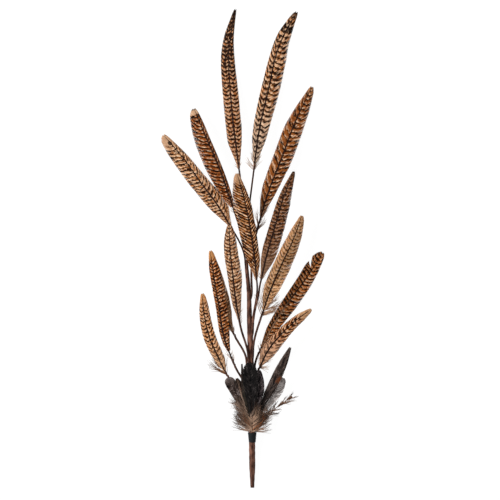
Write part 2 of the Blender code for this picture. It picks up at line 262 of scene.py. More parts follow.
def barb_line(blade, barb, along, camber):
    """Where a barb's middle runs: on the vane, or free of it where it has a reach."""
    share = np.minimum(barb["root"] + barb["sweep"] * along ** 1.2, 1)
    middle = read_off(blade["middle"], share)
    aim = unit(read_off(blade["aim"], share))
    on_left = (barb["side"] < 0)[:, None]
    edge = np.where(on_left, read_off(blade["left"], share), read_off(blade["right"], share))
    out = along ** 0.95 * barb["length"]
    bulge = camber * np.sin(np.pi * np.minimum(along, 1)) + barb["lift"] * along ** 2
    slide = barb["shift"] * ease(along, barb["open_from"], 1)
    vane = middle + (edge - middle) * out[:, None]
    vane += blade["up"] * bulge[:, None] + aim * slide[:, None]
    outward = unit(np.cross(aim, blade["up"])) * barb["side"][:, None]
    spread = barb["spread"][:, None]
    bend = (barb["curl"] * along)[:, None]
    ripple = (barb["wave"] * np.sin(along * 9 + barb["root"] * 400))[:, None]
    free = aim * (np.cos(spread) + bend) + outward * (np.sin(spread) - bend * 0.3 + ripple)
    free += blade["up"] * (barb["lift"] * (1 - 0.6 * along))[:, None]
    free = middle + free * (barb["reach"] * along)[:, None]
    return np.where((barb["reach"] > 0)[:, None], free, vane), share


def grow_barbs(blade, groups, camber, thick):
    """The mesh of all a feather's barbs, combed from a straight row into their places."""
    barbs = {key: np.concatenate([group[key] for group in groups]) for key in groups[0]}
    count = len(barbs["root"])
    mesh = row_of_barbs(count)
    straight = read_corners(mesh)
    number = np.clip(np.rint(straight[:, 0] / ARRAY_PITCH).astype(int), 0, count - 1)
    wide = straight[:, 0] - number * ARRAY_PITCH
    along = np.clip(straight[:, 2], 0, 1)
    barb = {key: values[number] for key, values in barbs.items()}
    line, share = barb_line(blade, barb, along, camber)
    behind, _ = barb_line(blade, barb, np.maximum(along - 0.03, 0.0), camber)
    ahead, _ = barb_line(blade, barb, along + 0.03, camber)
    aim = unit(ahead - behind)
    flat = unit(np.cross(blade["up"], aim))
    over = np.cross(aim, flat)
    shaft = unit(read_off(blade["aim"], share))
    slant = np.linalg.norm(np.cross(aim, shaft), axis=1)
    taper = np.where(barb["reach"] > 0, 1 - 0.8 * along, 1 - 0.4 * along ** 8)
    crowd = np.where(barb["reach"] > 0, 1.0, np.maximum(slant, 0.25))
    half = barb["gauge"] * crowd * taper
    places = line + flat * (wide * half)[:, None]
    places += over * (straight[:, 1] * thick * taper + wide * half * 0.25)[:, None]
    places[:, 2] = np.maximum(places[:, 2], BARB_LOWEST)
    mesh.vertices.foreach_set("co", places.ravel())
    across = np.clip(along * barb["length"], 0, 1) * barb["side"]
    loose = barb["reach"] > 0
    tone = LOOSE_LOW + (LOOSE_HIGH - LOOSE_LOW) * barb["tone"]
    sheet = np.where(loose, tone, VANE_MIDDLE + across * VANE_REACH * 0.998)
    lengthwise = np.where(loose, along, share)
    lay_map(mesh, sheet, lengthwise)
    mesh.update()
    return mesh


def lay_map(mesh, across, along):
    """Gives each corner of a mesh its place on the piece's own map."""
    layer = mesh.uv_layers.new(name="OFBake")
    corner = np.empty(len(mesh.loops), np.int64)
    mesh.loops.foreach_get("vertex_index", corner)
    layer.data.foreach_set("uv", np.stack([across[corner], along[corner]], axis=-1).ravel())


def grow_tube(middle, radius, shape, sides, sheet=(SHAFT_LOW, SHAFT_HIGH)):
    """A closed tube round a line of points. shape(turn, along) scales its radius."""
    rings = len(middle)
    mesh = straight_tube(sides, rings - 1)
    straight = read_corners(mesh)
    ring = np.clip(np.rint(straight[:, 2] * (rings - 1)).astype(int), 0, rings - 1)
    turn = np.arctan2(straight[:, 1], straight[:, 0])
    aim = unit(np.gradient(middle, axis=0))
    leftward = unit(np.cross((0, 0, 1), aim))
    upward = np.cross(aim, leftward)
    size = np.ravel(radius)[ring] * shape(turn, ring / (rings - 1))
    places = middle[ring] + leftward[ring] * (size * np.cos(turn))[:, None]
    places += upward[ring] * (size * np.sin(turn))[:, None]
    places[:, 2] = np.maximum(places[:, 2], TUBE_LOWEST)
    mesh.vertices.foreach_set("co", places.ravel())
    low, high = sheet
    lay_map(mesh, low + (high - low) * (0.5 + np.sin(turn) / 2), ring / (rings - 1))
    mesh.update()
    return mesh


def joined(name, meshes):
    """One object from several meshes, all with the same map."""
    bm = bmesh.new()
    for mesh in meshes:
        bm.from_mesh(mesh)
        bpy.data.meshes.remove(mesh)
    whole = bpy.data.meshes.new(name)
    bm.to_mesh(whole)
    bm.free()
    made = bpy.data.objects.new(name, whole)
    bpy.context.scene.collection.objects.link(made)
    return made


class Dye:
    """A shader socket that takes part in sums, so that a pattern reads like a formula."""

    def __init__(self, tree, socket=None):
        self.tree = tree
        self.socket = socket

    def node(self, kind, settings, sockets, out=0):
        """Any node: its type, its settings, and what goes into its sockets."""
        made = self.tree.nodes.new(kind)
        for name, value in settings.items():
            setattr(made, name, value)
        for name, value in sockets.items():
            if isinstance(value, Dye):
                self.tree.links.new(value.socket, made.inputs[name])
            else:
                made.inputs[name].default_value = value
        return Dye(self.tree, made.outputs[out])

    def sum(self, operation, *values):
        return self.node("ShaderNodeMath", {"operation": operation}, dict(enumerate(values)))

    def __add__(self, other):
        return self.sum("ADD", self, other)

    def __sub__(self, other):
        return self.sum("SUBTRACT", self, other)

    def __rsub__(self, other):
        return self.sum("SUBTRACT", other, self)

    def __mul__(self, other):
        return self.sum("MULTIPLY", self, other)

    def __pow__(self, other):
        return self.sum("POWER", self, other)

    def __abs__(self):
        return self.sum("ABSOLUTE", self)

    def most(self, other):
        return self.sum("MAXIMUM", self, other)

    def part(self):
        return self.sum("FRACT", self)

    def rise(self, low, high):
        """0 below low, 1 above high."""
        sockets = {0: self, 1: low, 2: high}
        return self.node("ShaderNodeMapRange", {"interpolation_type": "SMOOTHSTEP"}, sockets)

    def band(self, middle, half, soft):
        """1 within half of the middle, with soft edges."""
        return 1 - abs(self - middle).rise(half - soft, half + soft)

    def blend(self, first, second):
        """The first colour where this is 0, the second where it is 1."""
        settings = {"data_type": "RGBA", "clamp_factor": True}
        return self.node("ShaderNodeMix", settings, {0: self, 6: first, 7: second}, 2)

    def spot(self, x, y, z):
        """Three values as one: a place to read noise at, or a shade of grey."""
        return self.node("ShaderNodeCombineXYZ", {}, {0: x, 1: y, 2: z})

    def cloud(self, scale, detail):
        """Soft noise from 0 to 1 at this place."""
        sockets = {"Vector": self, "Scale": scale, "Detail": detail}
        return self.node("ShaderNodeTexNoise", {}, sockets)


def new_material(name, roughness, specular):
    """A material with its Principled shader, and a Dye to start its nodes from."""
    made = bpy.data.materials.new(name)
    made.use_nodes = True
    shader = made.node_tree.nodes["Principled BSDF"]
    shader.inputs["Roughness"].default_value = roughness
    shader.inputs["Specular IOR Level"].default_value = specular
    return made, shader, Dye(made.node_tree)


def wire_up(dye, shader, colour, height, strength, distance):
    """Gives a shader its colour, and a fine relief from the height."""
    dye.tree.links.new(colour.socket, shader.inputs["Base Color"])
    sockets = {"Height": height, "Strength": strength, "Distance": distance}
    normal = dye.node("ShaderNodeBump", {}, sockets)
    dye.tree.links.new(normal.socket, shader.inputs["Normal"])


INK = srgb(16, 9, 6)
CREAM = srgb(240, 205, 170)
SHAFT_DARK = srgb(42, 28, 24)


def barred_material(name, seed, length, lean, look):
    """The barring of one feather. Its map runs across both vanes and from quill to tip."""
    made, shader, dye = new_material(name, 0.8, 0.04)
    place = dye.node("ShaderNodeUVMap", {"uv_map": "OFBake"}, {})
    x = dye.node("ShaderNodeSeparateXYZ", {}, {0: place}, 0)
    y = dye.node("ShaderNodeSeparateXYZ", {}, {0: place}, 1)
    across = (x - VANE_MIDDLE) * (1 / VANE_REACH)
    off = abs(across)
    right = across.rise(-0.01, 0.01)
    per_side = {}
    for key in ("bars", "rise", "arc", "black", "cream"):
        left_value, right_value = look[key]
        per_side[key] = right * (right_value - left_value) + left_value
    barb = y - off ** 1.2 * lean
    streak = dye.spot(barb * (length / GRAIN), off * 1.6, seed).cloud(1.0, 1.0)
    drift = dye.spot(off * 1.7 + right * 5, y * look["bars"][0] * 0.55, seed).cloud(1.0, 2.0)
    blot = dye.spot(across * 3.2, y * (length / BLOT), seed + 3.1).cloud(1.0, 3.0)
    hollow = (off - 0.45) * (1 / 0.45)
    pace = y + (y * y - y) * look["chirp"]
    phase = pace * per_side["bars"] - off * per_side["rise"] - hollow * hollow * per_side["arc"]
    phase = phase + (drift - 0.5) * look["drift"] + (streak - 0.5) * look["comb"]
    turn = phase.part()
    dusk = y.rise(look["dusk"][0], look["dusk"][1]) * look["dusk"][2]
    swell = blot * 2.9 - 0.42
    dark = turn.band(0.5, (per_side["black"] + dusk) * swell * 0.5, look["soft"])
    upper = turn.band(per_side["black"] * 0.55 + per_side["cream"] * 0.5 + 0.5,
                      per_side["cream"] * 0.5, look["soft"])
    lower = turn.band(0.5 - per_side["black"] * 0.55 - per_side["cream"] * 0.4,
                      per_side["cream"] * 0.4, look["soft"])
    ground = blot.rise(0.35, 0.7).blend(look["ground"], look["warm"])
    fleck = dye.spot(barb * (length / FLECK), off * 2.5, seed + 9).cloud(1.0, 1.0)
    pale = (upper + lower * look["both_edges"]) * fleck.rise(0.38, 0.6)
    colour = (pale * look["cream_share"]).blend(ground, look["pale"])
    specks = blot.rise(0.56, 0.66) * look["mottle"]
    fade = y.rise(look["fade"][0], look["fade"][1])
    tail = y.rise(look["tip"][0], look["tip"][1])
    mark = (dark * look["ink_share"]).most(specks)
    mark = mark * (1 - tail * look["tip_clear"]) * (fade * (1 - look["base_ink"]) + look["base_ink"])
    colour = ((1 - fade) * look["base_share"]).blend(colour, look["base"])
    colour = (tail * look["tip_share"]).blend(colour, look["tip_colour"])
    colour = mark.blend(colour, look["ink"])
    for at, half, amount in look.get("caps", ()):
        wobble = (drift - 0.5) * 0.02
        cap = (y + wobble).band(at, half, half * 0.5) * blot.rise(0.36, 0.5) * amount
        colour = cap.blend(colour, look["ink"])
    for at, spread_out, amount in look.get("blobs", ()):
        patch = 1 - ((y - at) * (length / BLOB)) ** 2 - (off - spread_out) ** 2 * 14
        colour = (patch.rise(0.1, 0.6) * amount).blend(colour, look["ink"])
    colour = (off.band(0.0, 0.075, 0.035) * look["spine"]).blend(colour, look["ink"])
    shade = streak * 0.5 + 0.75
    colour = dye.node("ShaderNodeMix", {"data_type": "RGBA", "blend_type": "MULTIPLY"},
                      {0: 1.0, 6: colour, 7: dye.spot(shade, shade, shade)}, 2)
    shaft = y.rise(look["shaft"][0], look["shaft"][1]).blend(look["quill"], look["shaft_colour"])
    colour = (1 - x.rise(*SHAFT_EDGE)).blend(colour, shaft)
    loose = (y * 0.6 + x * 20).rise(0.0, 1.0).blend(look["wisp"], look["wisp_tip"])
    colour = (1 - x.rise(*LOOSE_EDGE)).blend(colour, loose)
    wire_up(dye, shader, colour, streak, 0.25, 0.00015)
    return made


# How a feather is marked where its own row doesn't say otherwise. Pairs named bars to cream
# and loose are the left vane's value and the right's. Places are shares of the length.
#   bars, chirp          how many bars, and how much closer they stand towards the tip
#   rise, arc            how far a bar climbs to the edge, and how far it bows, in spacings
#   black, cream         the widths of a bar and of its pale edges, in spacings
#   drift, comb, soft    how much bars wander, how ragged their edges are, and how soft
#   dusk                 from, to, and how much the bars widen there
#   fade, tip            from and to, for the markings of the base and of the tip
#   caps, blobs          dark bands (place, half height, strength) and round spots
#   shaft                where the quill's colour gives way to the shaft's
#   loose, start         how many loose barbs at the base, and where the vanes begin
#   splits               side, place, how far out the split starts, and its gap
PLAIN = dict(
    chirp=0.0, bars=(26, 26), rise=(0.6, 0.6), arc=(0.35, 0.35), black=(0.42, 0.42), cream=(0.22, 0.22),
    drift=1.0, comb=1.05, soft=0.06, dusk=(0.8, 1.0, 0.0), both_edges=0.6, cream_share=0.95, ink_share=0.95,
    mottle=0.3, ground=srgb(164, 99, 48), warm=srgb(143, 73, 28), pale=CREAM, ink=INK,
    fade=(0.04, 0.2), base=srgb(184, 150, 124), base_share=0.6, base_ink=0.55,
    tip=(0.93, 0.99), tip_clear=0.0, tip_share=0.0, tip_colour=srgb(189, 148, 114),
    spine=0.5, shaft=(0.0, 0.25), quill=SHAFT_DARK, shaft_colour=SHAFT_DARK,
    wisp=srgb(150, 122, 108), wisp_tip=srgb(190, 168, 152), loose=(14, 14), loose_reach=0.012,
    loose_spread=30, start=0.05, ragged=0.3, splits=())

FEATHERS = {
    "tall_left": dict(
        bars=(41, 41), rise=(-0.1, -0.1), arc=(0.5, 0.5), black=(0.5, 0.5), dusk=(0.5, 0.75, 0.3),
        tip=(0.9, 0.97), tip_share=0.9, tip_colour=srgb(57, 36, 28), base_share=0.3, start=0.03,
        loose=(8, 8), loose_reach=0.008),
    "tall_right": dict(
        bars=(31, 31), rise=(0.35, 0.25), arc=(0.5, 0.5), black=(0.46, 0.44), cream=(0.32, 0.32),
        ground=srgb(168, 108, 58), fade=(0.02, 0.5), base=srgb(209, 181, 156), base_share=0.85,
        base_ink=1.0, spine=0.95, tip=(0.93, 0.99), tip_share=0.8, tip_colour=srgb(64, 40, 30),
        caps=((0.885, 0.02, 0.8),), dusk=(0.7, 0.9, 0.15), start=0.03,
        loose=(30, 40), loose_reach=0.02, loose_spread=22),
    "upper_right": dict(
        bars=(19, 32), rise=(0.9, 0.9), arc=(0.3, 0.25), black=(0.26, 0.38), cream=(0.2, 0.24),
        ground=srgb(150, 87, 40), warm=srgb(128, 68, 28), both_edges=0.0, spine=0.8,
        tip=(0.9, 0.99), tip_share=0.5, tip_colour=srgb(189, 135, 92), start=0.1,
        loose=(60, 60), loose_reach=0.024, loose_spread=20, base_share=0.5),
    "upper_left": dict(
        chirp=-0.15, bars=(31, 31), rise=(1.7, 1.2), arc=(0.2, 0.2), black=(0.44, 0.54), cream=(0.18, 0.15),
        ground=srgb(146, 80, 33), warm=srgb(120, 59, 20), both_edges=0.0, spine=0.7,
        tip=(0.935, 0.95), tip_clear=1.0, tip_share=0.75, tip_colour=srgb(208, 173, 141),
        caps=((0.93, 0.012, 0.95), (0.992, 0.01, 0.8)), start=0.12, loose=(10, 10), base_share=0.0,
        wisp=srgb(70, 50, 40)),
    "far_left": dict(
        chirp=-0.2, bars=(31, 23), rise=(1.0, 1.4), arc=(0.2, 0.6), black=(0.42, 0.4), cream=(0.26, 0.28),
        ground=srgb(160, 104, 56), warm=srgb(146, 82, 36), mottle=0.6, spine=0.5, drift=1.2,
        tip=(0.86, 0.92), tip_clear=1.0, tip_share=0.75, tip_colour=srgb(191, 155, 125),
        blobs=((0.905, 0.1, 0.9),), start=0.03, base_share=0.25, base=srgb(171, 132, 102)),
    "front_tall": dict(
        chirp=0.3, bars=(34, 34), rise=(2.6, 1.6), arc=(0.1, 0.1), black=(0.53, 0.57), cream=(0.32, 0.27),
        ground=srgb(165, 106, 56), warm=srgb(148, 81, 34), both_edges=0.0, spine=0.45,
        tip=(0.86, 0.95), tip_clear=0.9, tip_share=0.7, tip_colour=srgb(191, 155, 123),
        start=0.03, base_share=0.25),
    "front_dark": dict(
        bars=(32, 32), rise=(0.6, 0.9), arc=(0.1, 0.1), black=(0.42, 0.4), cream=(0.2, 0.24),
        ground=srgb(134, 85, 50), warm=srgb(104, 58, 29), pale=srgb(214, 184, 160), mottle=0.9,
        ink=srgb(20, 11, 8), fade=(0.05, 0.5), base=srgb(142, 110, 87), base_share=0.75,
        base_ink=0.4, spine=0.6, drift=1.6, cream_share=0.6, tip=(0.92, 0.99), tip_share=0.6,
        tip_colour=srgb(53, 34, 26), start=0.03, both_edges=0.0, loose=(10, 24)),
    "pale_right": dict(
        bars=(29, 31), rise=(0.9, 0.7), arc=(0.5, 0.4), black=(0.28, 0.3), cream=(0.37, 0.37),
        ground=srgb(216, 160, 106), warm=srgb(198, 128, 72), ink=srgb(54, 30, 18), mottle=0.4,
        ink_share=0.9, both_edges=0.4, spine=0.6, tip=(0.9, 1.0), tip_clear=0.8, tip_share=0.5,
        tip_colour=srgb(188, 140, 102), base_share=0.4, start=0.06, loose=(26, 80),
        loose_reach=0.027, loose_spread=30,
        wisp=srgb(196, 156, 126), wisp_tip=srgb(96, 64, 44), splits=((1, 0.5, 0.1, 0.0008),)),
    "split_right": dict(
        bars=(31, 29), rise=(0.7, 0.7), arc=(0.1, 0.3), black=(0.5, 0.4), cream=(0.16, 0.24),
        ground=srgb(192, 118, 60), warm=srgb(160, 86, 36), ink=srgb(18, 10, 6), mottle=0.7,
        both_edges=0.0, spine=0.4, shaft=(0.35, 0.6), quill=srgb(150, 116, 90),
        tip=(0.94, 1.0), tip_share=0.5, tip_colour=srgb(138, 95, 65), start=0.03,
        splits=((-1, 0.86, 0.15, 0.009), (1, 0.76, 0.55, 0.0016)), base_share=0.2),
    "low_right": dict(
        bars=(14, 16), rise=(1.2, 1.0), arc=(0.5, 0.5), black=(0.5, 0.46), cream=(0.3, 0.3),
        ground=srgb(188, 110, 46), warm=srgb(164, 82, 27), fade=(0.2, 0.62), spine=0.7,
        base=srgb(200, 155, 124), base_share=0.9, base_ink=0.75, tip=(0.78, 0.86), tip_clear=0.8,
        tip_share=0.8, tip_colour=srgb(197, 155, 116), start=0.03, loose=(6, 30), loose_reach=0.014,
        loose_spread=60),
    "centre_left": dict(
        bars=(28, 30), rise=(0.5, 0.7), arc=(0.3, 0.2), black=(0.42, 0.38), cream=(0.3, 0.3),
        ground=srgb(153, 98, 52), warm=srgb(138, 76, 34), ink=srgb(42, 27, 21), spine=0.5,
        start=0.06, fade=(0.05, 0.3), base=srgb(158, 124, 101), base_share=0.6, base_ink=0.5),
    "mid_left": dict(
        bars=(37, 36), rise=(0.9, 0.7), arc=(0.1, 0.1), black=(0.58, 0.56), cream=(0.18, 0.18),
        ground=srgb(172, 100, 44), warm=srgb(150, 74, 26), mottle=0.5, spine=0.5, both_edges=0.0,
        tip=(0.88, 0.95), tip_clear=1.0, tip_share=0.8, tip_colour=srgb(184, 133, 84),
        start=0.12, base_share=0.4),
    "behind_left": dict(
        bars=(30, 30), rise=(0.6, 0.6), black=(0.3, 0.3), cream=(0.2, 0.2), ink_share=0.5,
        ground=srgb(150, 109, 74), warm=srgb(138, 92, 59), base_share=0.5, start=0.05,
        quill=srgb(214, 176, 148), shaft=(0.0, 0.12)),
    "low_left": dict(
        chirp=0.25, bars=(22, 22), rise=(0.25, 0.3), arc=(0.45, 0.45), black=(0.42, 0.42),
        cream=(0.28, 0.28), ground=srgb(180, 115, 55), warm=srgb(164, 91, 35), spine=0.75,
        tip=(0.86, 0.92),
        tip_clear=1.0, tip_share=0.6, tip_colour=srgb(190, 140, 92), fade=(0.05, 0.5),
        base=srgb(202, 165, 131), base_share=0.75, base_ink=0.6, start=0.05, loose=(40, 6),
        loose_reach=0.025, loose_spread=28,
        wisp=srgb(120, 84, 58), wisp_tip=srgb(84, 56, 38)),
}

def grooved(turn, along):
    """A shaft with a shallow groove along its upper side."""
    return 1 - 0.16 * np.exp(-((turn - np.pi / 2) / 0.35) ** 2)


for number, (name, own) in enumerate(FEATHERS.items()):
    look = {**PLAIN, **own}
    rng = np.random.default_rng(TAIL_SEED + number)
    blade = read_blade(f"feather_{name}", TAIL_SLICES)
    groups = []
    for side in (-1, 1):
        groups.append(vane_barbs(blade, side, look["start"], rng, look["ragged"], look["splits"],
                                 BARB_PITCH))
        loose = look["loose"][side > 0]
        groups.append(loose_barbs(blade, side, loose, WISP_LOW, look["start"] + WISP_ABOVE,
                                  look["loose_reach"], look["loose_spread"], WISP_DROOP, rng,
                                  WISP_GAUGE, WISP_LIFT, WISP_FALL))
    barbs = grow_barbs(blade, groups, VANE_CAMBER, BARB_THICK)
    share = np.linspace(0, 1, SHAFT_RINGS)
    middle = read_off(blade["middle"], share) + blade["up"] * SHAFT_RAISE
    radius = np.ravel(read_off(blade["radius"], share)) * (1 - 0.8 * ease(share, 0.9, 1))
    shaft = grow_tube(middle, radius, grooved, SHAFT_SIDES)
    plume = joined(f"plume_{name}", [barbs, shaft])
    half_width = np.linalg.norm(blade["left"] - blade["right"], axis=1).mean() / 2
    lean = half_width / math.tan(BARB_ANGLE) / blade["length"]
    plume.data.materials.append(
        barred_material(f"barred_{name}", number * TAIL_PATTERN, blade["length"], lean, look))
    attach(plume, "root")
    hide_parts(f"feather_{name}")

# ---------------------------------------------------------------------------------------
# Stems and stalks. Wires wrapped in brown paper tape, wound on the slant so that each turn
# lies over the one before. The wires show as ridges along the main stem and the branch.

TAPE_TURN = 0.0095         # along the stem for one turn of tape
TAPE_STEP = 0.05           # how far a turn stands off the one below, as a share of radius
STEM_SLICES = 260
STALK_SLICES = 40
STALK_SIDES = 14
STALK_SWELL = 1.06         # a stalk's radius, as a multiple of the CAD stalk's
END_INSET = 0.0009         # how far inside a stem's ends it is first sliced
ROOT_DEPTHS = (0.017, 0.013, 0.009, 0.0045)    # how far down the stem a stalk's root goes
ROOT_SHARES = (0.3, 0.55, 0.8, 0.95)           # and how far out from the stem's middle
TAPE_LIGHT = srgb(134, 93, 76)
TAPE_DARK = srgb(48, 28, 22)
TAPE_RUB = srgb(128, 98, 84)
STALK_LIGHT = srgb(98, 66, 54)
STALK_DARK = srgb(42, 26, 21)


def read_tube(node, slices):
    """Centre line and radius of a CAD stem, from slices across its long way, which is y."""
    corners, starts, ends = read_edges(node)
    low, high = corners[:, 1].min(), corners[:, 1].max()
    rows = []
    for place in np.linspace(low, high, slices):
        place = min(max(place, low + END_INSET), high - END_INSET)
        points = crossings(starts, ends, starts[:, 1], ends[:, 1], place)
        middle = (points.min(0) + points.max(0)) / 2
        rows.append([*middle, (points[:, 2].max() - points[:, 2].min()) / 2])
    rows = smoothed(np.array(rows), 3)
    rows[0, 1], rows[-1, 1] = low, high
    return rows[:, :3], rows[:, 3]


def taped(length, lobes, seed):
    """How a wound tape shapes a stem: a slanting step at each turn, and ridges of wire."""
    rng = np.random.default_rng(seed)
    lean = rng.random() * 6

    def shape(turn, along):
        wound = (turn / (2 * np.pi) + along * length / TAPE_TURN) % 1
        step = TAPE_STEP * (wound - 0.5)
        ridges = 0.0
        if lobes:
            ridges = 0.09 * np.cos(lobes * turn + lean + along * 5)
            ridges = ridges + 0.025 * np.cos((2 * lobes + 1) * turn + along * 9)
        crease = 0.018 * np.sin(along * length / 0.0021 + 3 * turn)
        return 1 + step + ridges + crease

    return shape


def tape_material(name, light, dark):
    """Brown crepe paper: fibres along the stem, paler where it is rubbed."""
    made, shader, dye = new_material(name, 0.75, 0.08)
    place = dye.node("ShaderNodeTexCoord", {}, {}, 3)
    fine = place.cloud(2600.0, 3.0)
    stretched = dye.node("ShaderNodeMapping", {}, {"Vector": place, "Scale": (900, 60, 900)})
    fibre = stretched.cloud(1.0, 3.0)
    patch = place.cloud(70.0, 2.0)
    colour = (fibre * 0.7 + patch * 0.5 - 0.15).rise(0.32, 0.66).blend(dark, light)
    colour = (fine.rise(0.55, 0.8) * 0.35).blend(colour, TAPE_RUB)
    wire_up(dye, shader, colour, fibre + fine * 0.5, 0.45, 0.0002)
    return made


def rooted(middle, radius, stems):
    """A stalk or branch carried on into the stem it leaves, so that one tape covers both."""
    stem = min(stems, key=lambda line: np.linalg.norm(line - middle[0], axis=1).min())
    near = np.linalg.norm(stem - middle[0], axis=1).argmin()
    run = np.concatenate([[0], np.cumsum(np.linalg.norm(np.diff(stem, axis=0), axis=1))])
    below = run[near] - np.array(ROOT_DEPTHS)
    inside = np.stack([np.interp(below, run, column) for column in stem.T], axis=-1)
    inside += (middle[0] - stem[near]) * np.array(ROOT_SHARES)[:, None]
    return np.concatenate([inside, middle]), np.concatenate([[radius[3]] * 4, radius])


# for each CAD node: the piece's name, slices, sides and ridges of wire
STEMS = {"main_stem": ("stem_wrap", STEM_SLICES, 30, 5), "right_branch": ("branch_wrap", 60, 20, 3)}

lines = []
for node, (name, slices, sides, lobes) in STEMS.items():
    middle, radius = read_tube(node, slices)
    if lines:
        middle, radius = rooted(middle, radius, lines)
    lines.append(middle)
    length = np.linalg.norm(np.diff(middle, axis=0), axis=1).sum()
    tube = grow_tube(middle, radius, taped(length, lobes, slices), sides, (0.0, 1.0))
    wrap = joined(name, [tube])
    wrap.data.shade_smooth()
    wrap.data.materials.append(tape_material(f"tape_{name}", TAPE_LIGHT, TAPE_DARK))
    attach(wrap, "root")
    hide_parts(node)

stalk_tape = tape_material("tape_stalk", STALK_LIGHT, STALK_DARK)
for number, name in enumerate(FEATHERS):
    middle, radius = rooted(*read_tube(f"stalk_{name}", STALK_SLICES), lines)
    quill = read_blade(f"feather_{name}", STALK_SLICES)
    middle = np.concatenate([middle, quill["middle"][:3]])
    radius = np.concatenate([radius, [radius[-4]] * 3]) * STALK_SWELL
    length = np.linalg.norm(np.diff(middle, axis=0), axis=1).sum()
    tube = grow_tube(middle, radius, taped(length, 0, number), STALK_SIDES, (0.0, 1.0))
    wire = joined(f"wire_{name}", [tube])
    wire.data.shade_smooth()
    wire.data.materials.append(stalk_tape)
    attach(wire, "root")
    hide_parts(f"stalk_{name}")

# ---------------------------------------------------------------------------------------
# Collar feathers. Short body feathers, black, grey and dark brown, with loose down above
# the quill. Their quills are bound to the stem.

HACKLE_PITCH = 0.00055     # between the roots of two barbs, along the shaft
HACKLE_CAMBER = 0.0005
HACKLE_THICK = 0.0001
HACKLE_SLICES = 70
HACKLE_RINGS = 40
HACKLE_SIDES = 8
HACKLE_GRAIN = 0.0014      # along the feather, for one streak of colour
HACKLE_SEED = 300
HACKLE_PATTERN = 5.1       # between the noise of two feathers
DOWN_DROOP = 12            # degrees more that the lowest down leans out
DOWN_GAUGE = 0.00045       # the radius of a hair of down at its root
DOWN_LIFT = 0.3            # how unevenly its tufts rise, as a share of their reach
# painted highlight: a pale colour put on the barbs where light would run along them
PAINTED_GLINT = srgb(188, 176, 174)        # where light runs along a glossy barb
RUST = srgb(158, 92, 48)           # a few tufts of the down


def plain(turn, along):
    """A tube with nothing on it."""
    return 1.0


def hackle_material(name, seed, length, look):
    """A dark vane with a silky grain and painted sheen and highlights in its pale streaks, over brown down
    that changes towards its ends.
    """
    made, shader, dye = new_material(name, 0.6, 0.07)
    place = dye.node("ShaderNodeUVMap", {"uv_map": "OFBake"}, {})
    x = dye.node("ShaderNodeSeparateXYZ", {}, {0: place}, 0)
    y = dye.node("ShaderNodeSeparateXYZ", {}, {0: place}, 1)
    off = abs(x - VANE_MIDDLE) * (1 / VANE_REACH)
    barb = y - off ** 1.2 * 0.12
    streak = dye.spot(barb * (length / HACKLE_GRAIN), x * 4.4, seed).cloud(1.0, 2.0)
    blot = dye.spot(x * 6, y * 9, seed).cloud(1.0, 2.0)
    # painted sheen: paler streaks that stand in for light along glossy barbs on the black feathers; on the
    # brown and grey ones they are also the barbs' own paler tone
    sheen = (blot * 0.35 + streak * 0.65).rise(0.4, 0.6) * y.rise(look["deep"][0], look["deep"][1])
    colour = sheen.blend(look["dark"], look["light"])
    # painted highlight: sparse pale streaks where light would catch the glossy barbs
    glint = streak.rise(0.58, 0.66) * blot.rise(0.5, 0.58) * look["glint"]
    colour = glint.blend(colour, PAINTED_GLINT)
    low, high = look["brown_to"]
    colour = (1 - y.rise(low, high)).blend(colour, look["down"])
    colour = (y.rise(0.86, 1.0) * look["tip_share"]).blend(colour, look["tip_colour"])
    for at, half, patch_colour in look.get("patches", ()):
        patch = y.band(at, half, half * 0.6) * (blot + x * 0.5 - 0.35).rise(0.36, 0.55)
        colour = patch.blend(colour, patch_colour)
    down = (y * 0.7 + x * 30).rise(0.3, 1.2).blend(look["down"], look["down_tip"])
    down = (x.rise(0.0195, 0.0205) * look["rust"]).blend(down, RUST)
    colour = (1 - x.rise(*LOOSE_EDGE)).blend(colour, down)
    shaft = y.rise(0.1, 0.6).blend(look["down_tip"], look["dark"])
    colour = x.band(*SHAFT_BAND).blend(colour, shaft)
    shade = streak * 0.7 + 0.65
    colour = dye.node("ShaderNodeMix", {"data_type": "RGBA", "blend_type": "MULTIPLY"},
                      {0: 1.0, 6: colour, 7: dye.spot(shade, shade, shade)}, 2)
    wire_up(dye, shader, colour, streak, 0.3, 0.00015)
    return made


# How a collar feather looks where its own row doesn't say otherwise. dark and light are the
# vane's colours, light being partly painted sheen, deep where the light one starts, glint how
# much painted highlight, brown_to where the down's colour ends, patches (place, half height,
# colour), and splits as for the tail feathers.
SOFT = dict(
    dark=srgb(3, 3, 4), light=srgb(36, 32, 31), down=srgb(182, 153, 134),
    down_tip=srgb(50, 34, 27), rust=0.0, deep=(0.0, 0.1), glint=0.1, brown_to=(0.16, 0.3),
    tip_share=0.0, tip_colour=INK, start=0.2, down_count=120, down_reach=0.024, down_high=0.44,
    ragged=0.5, splits=(), spread=50)

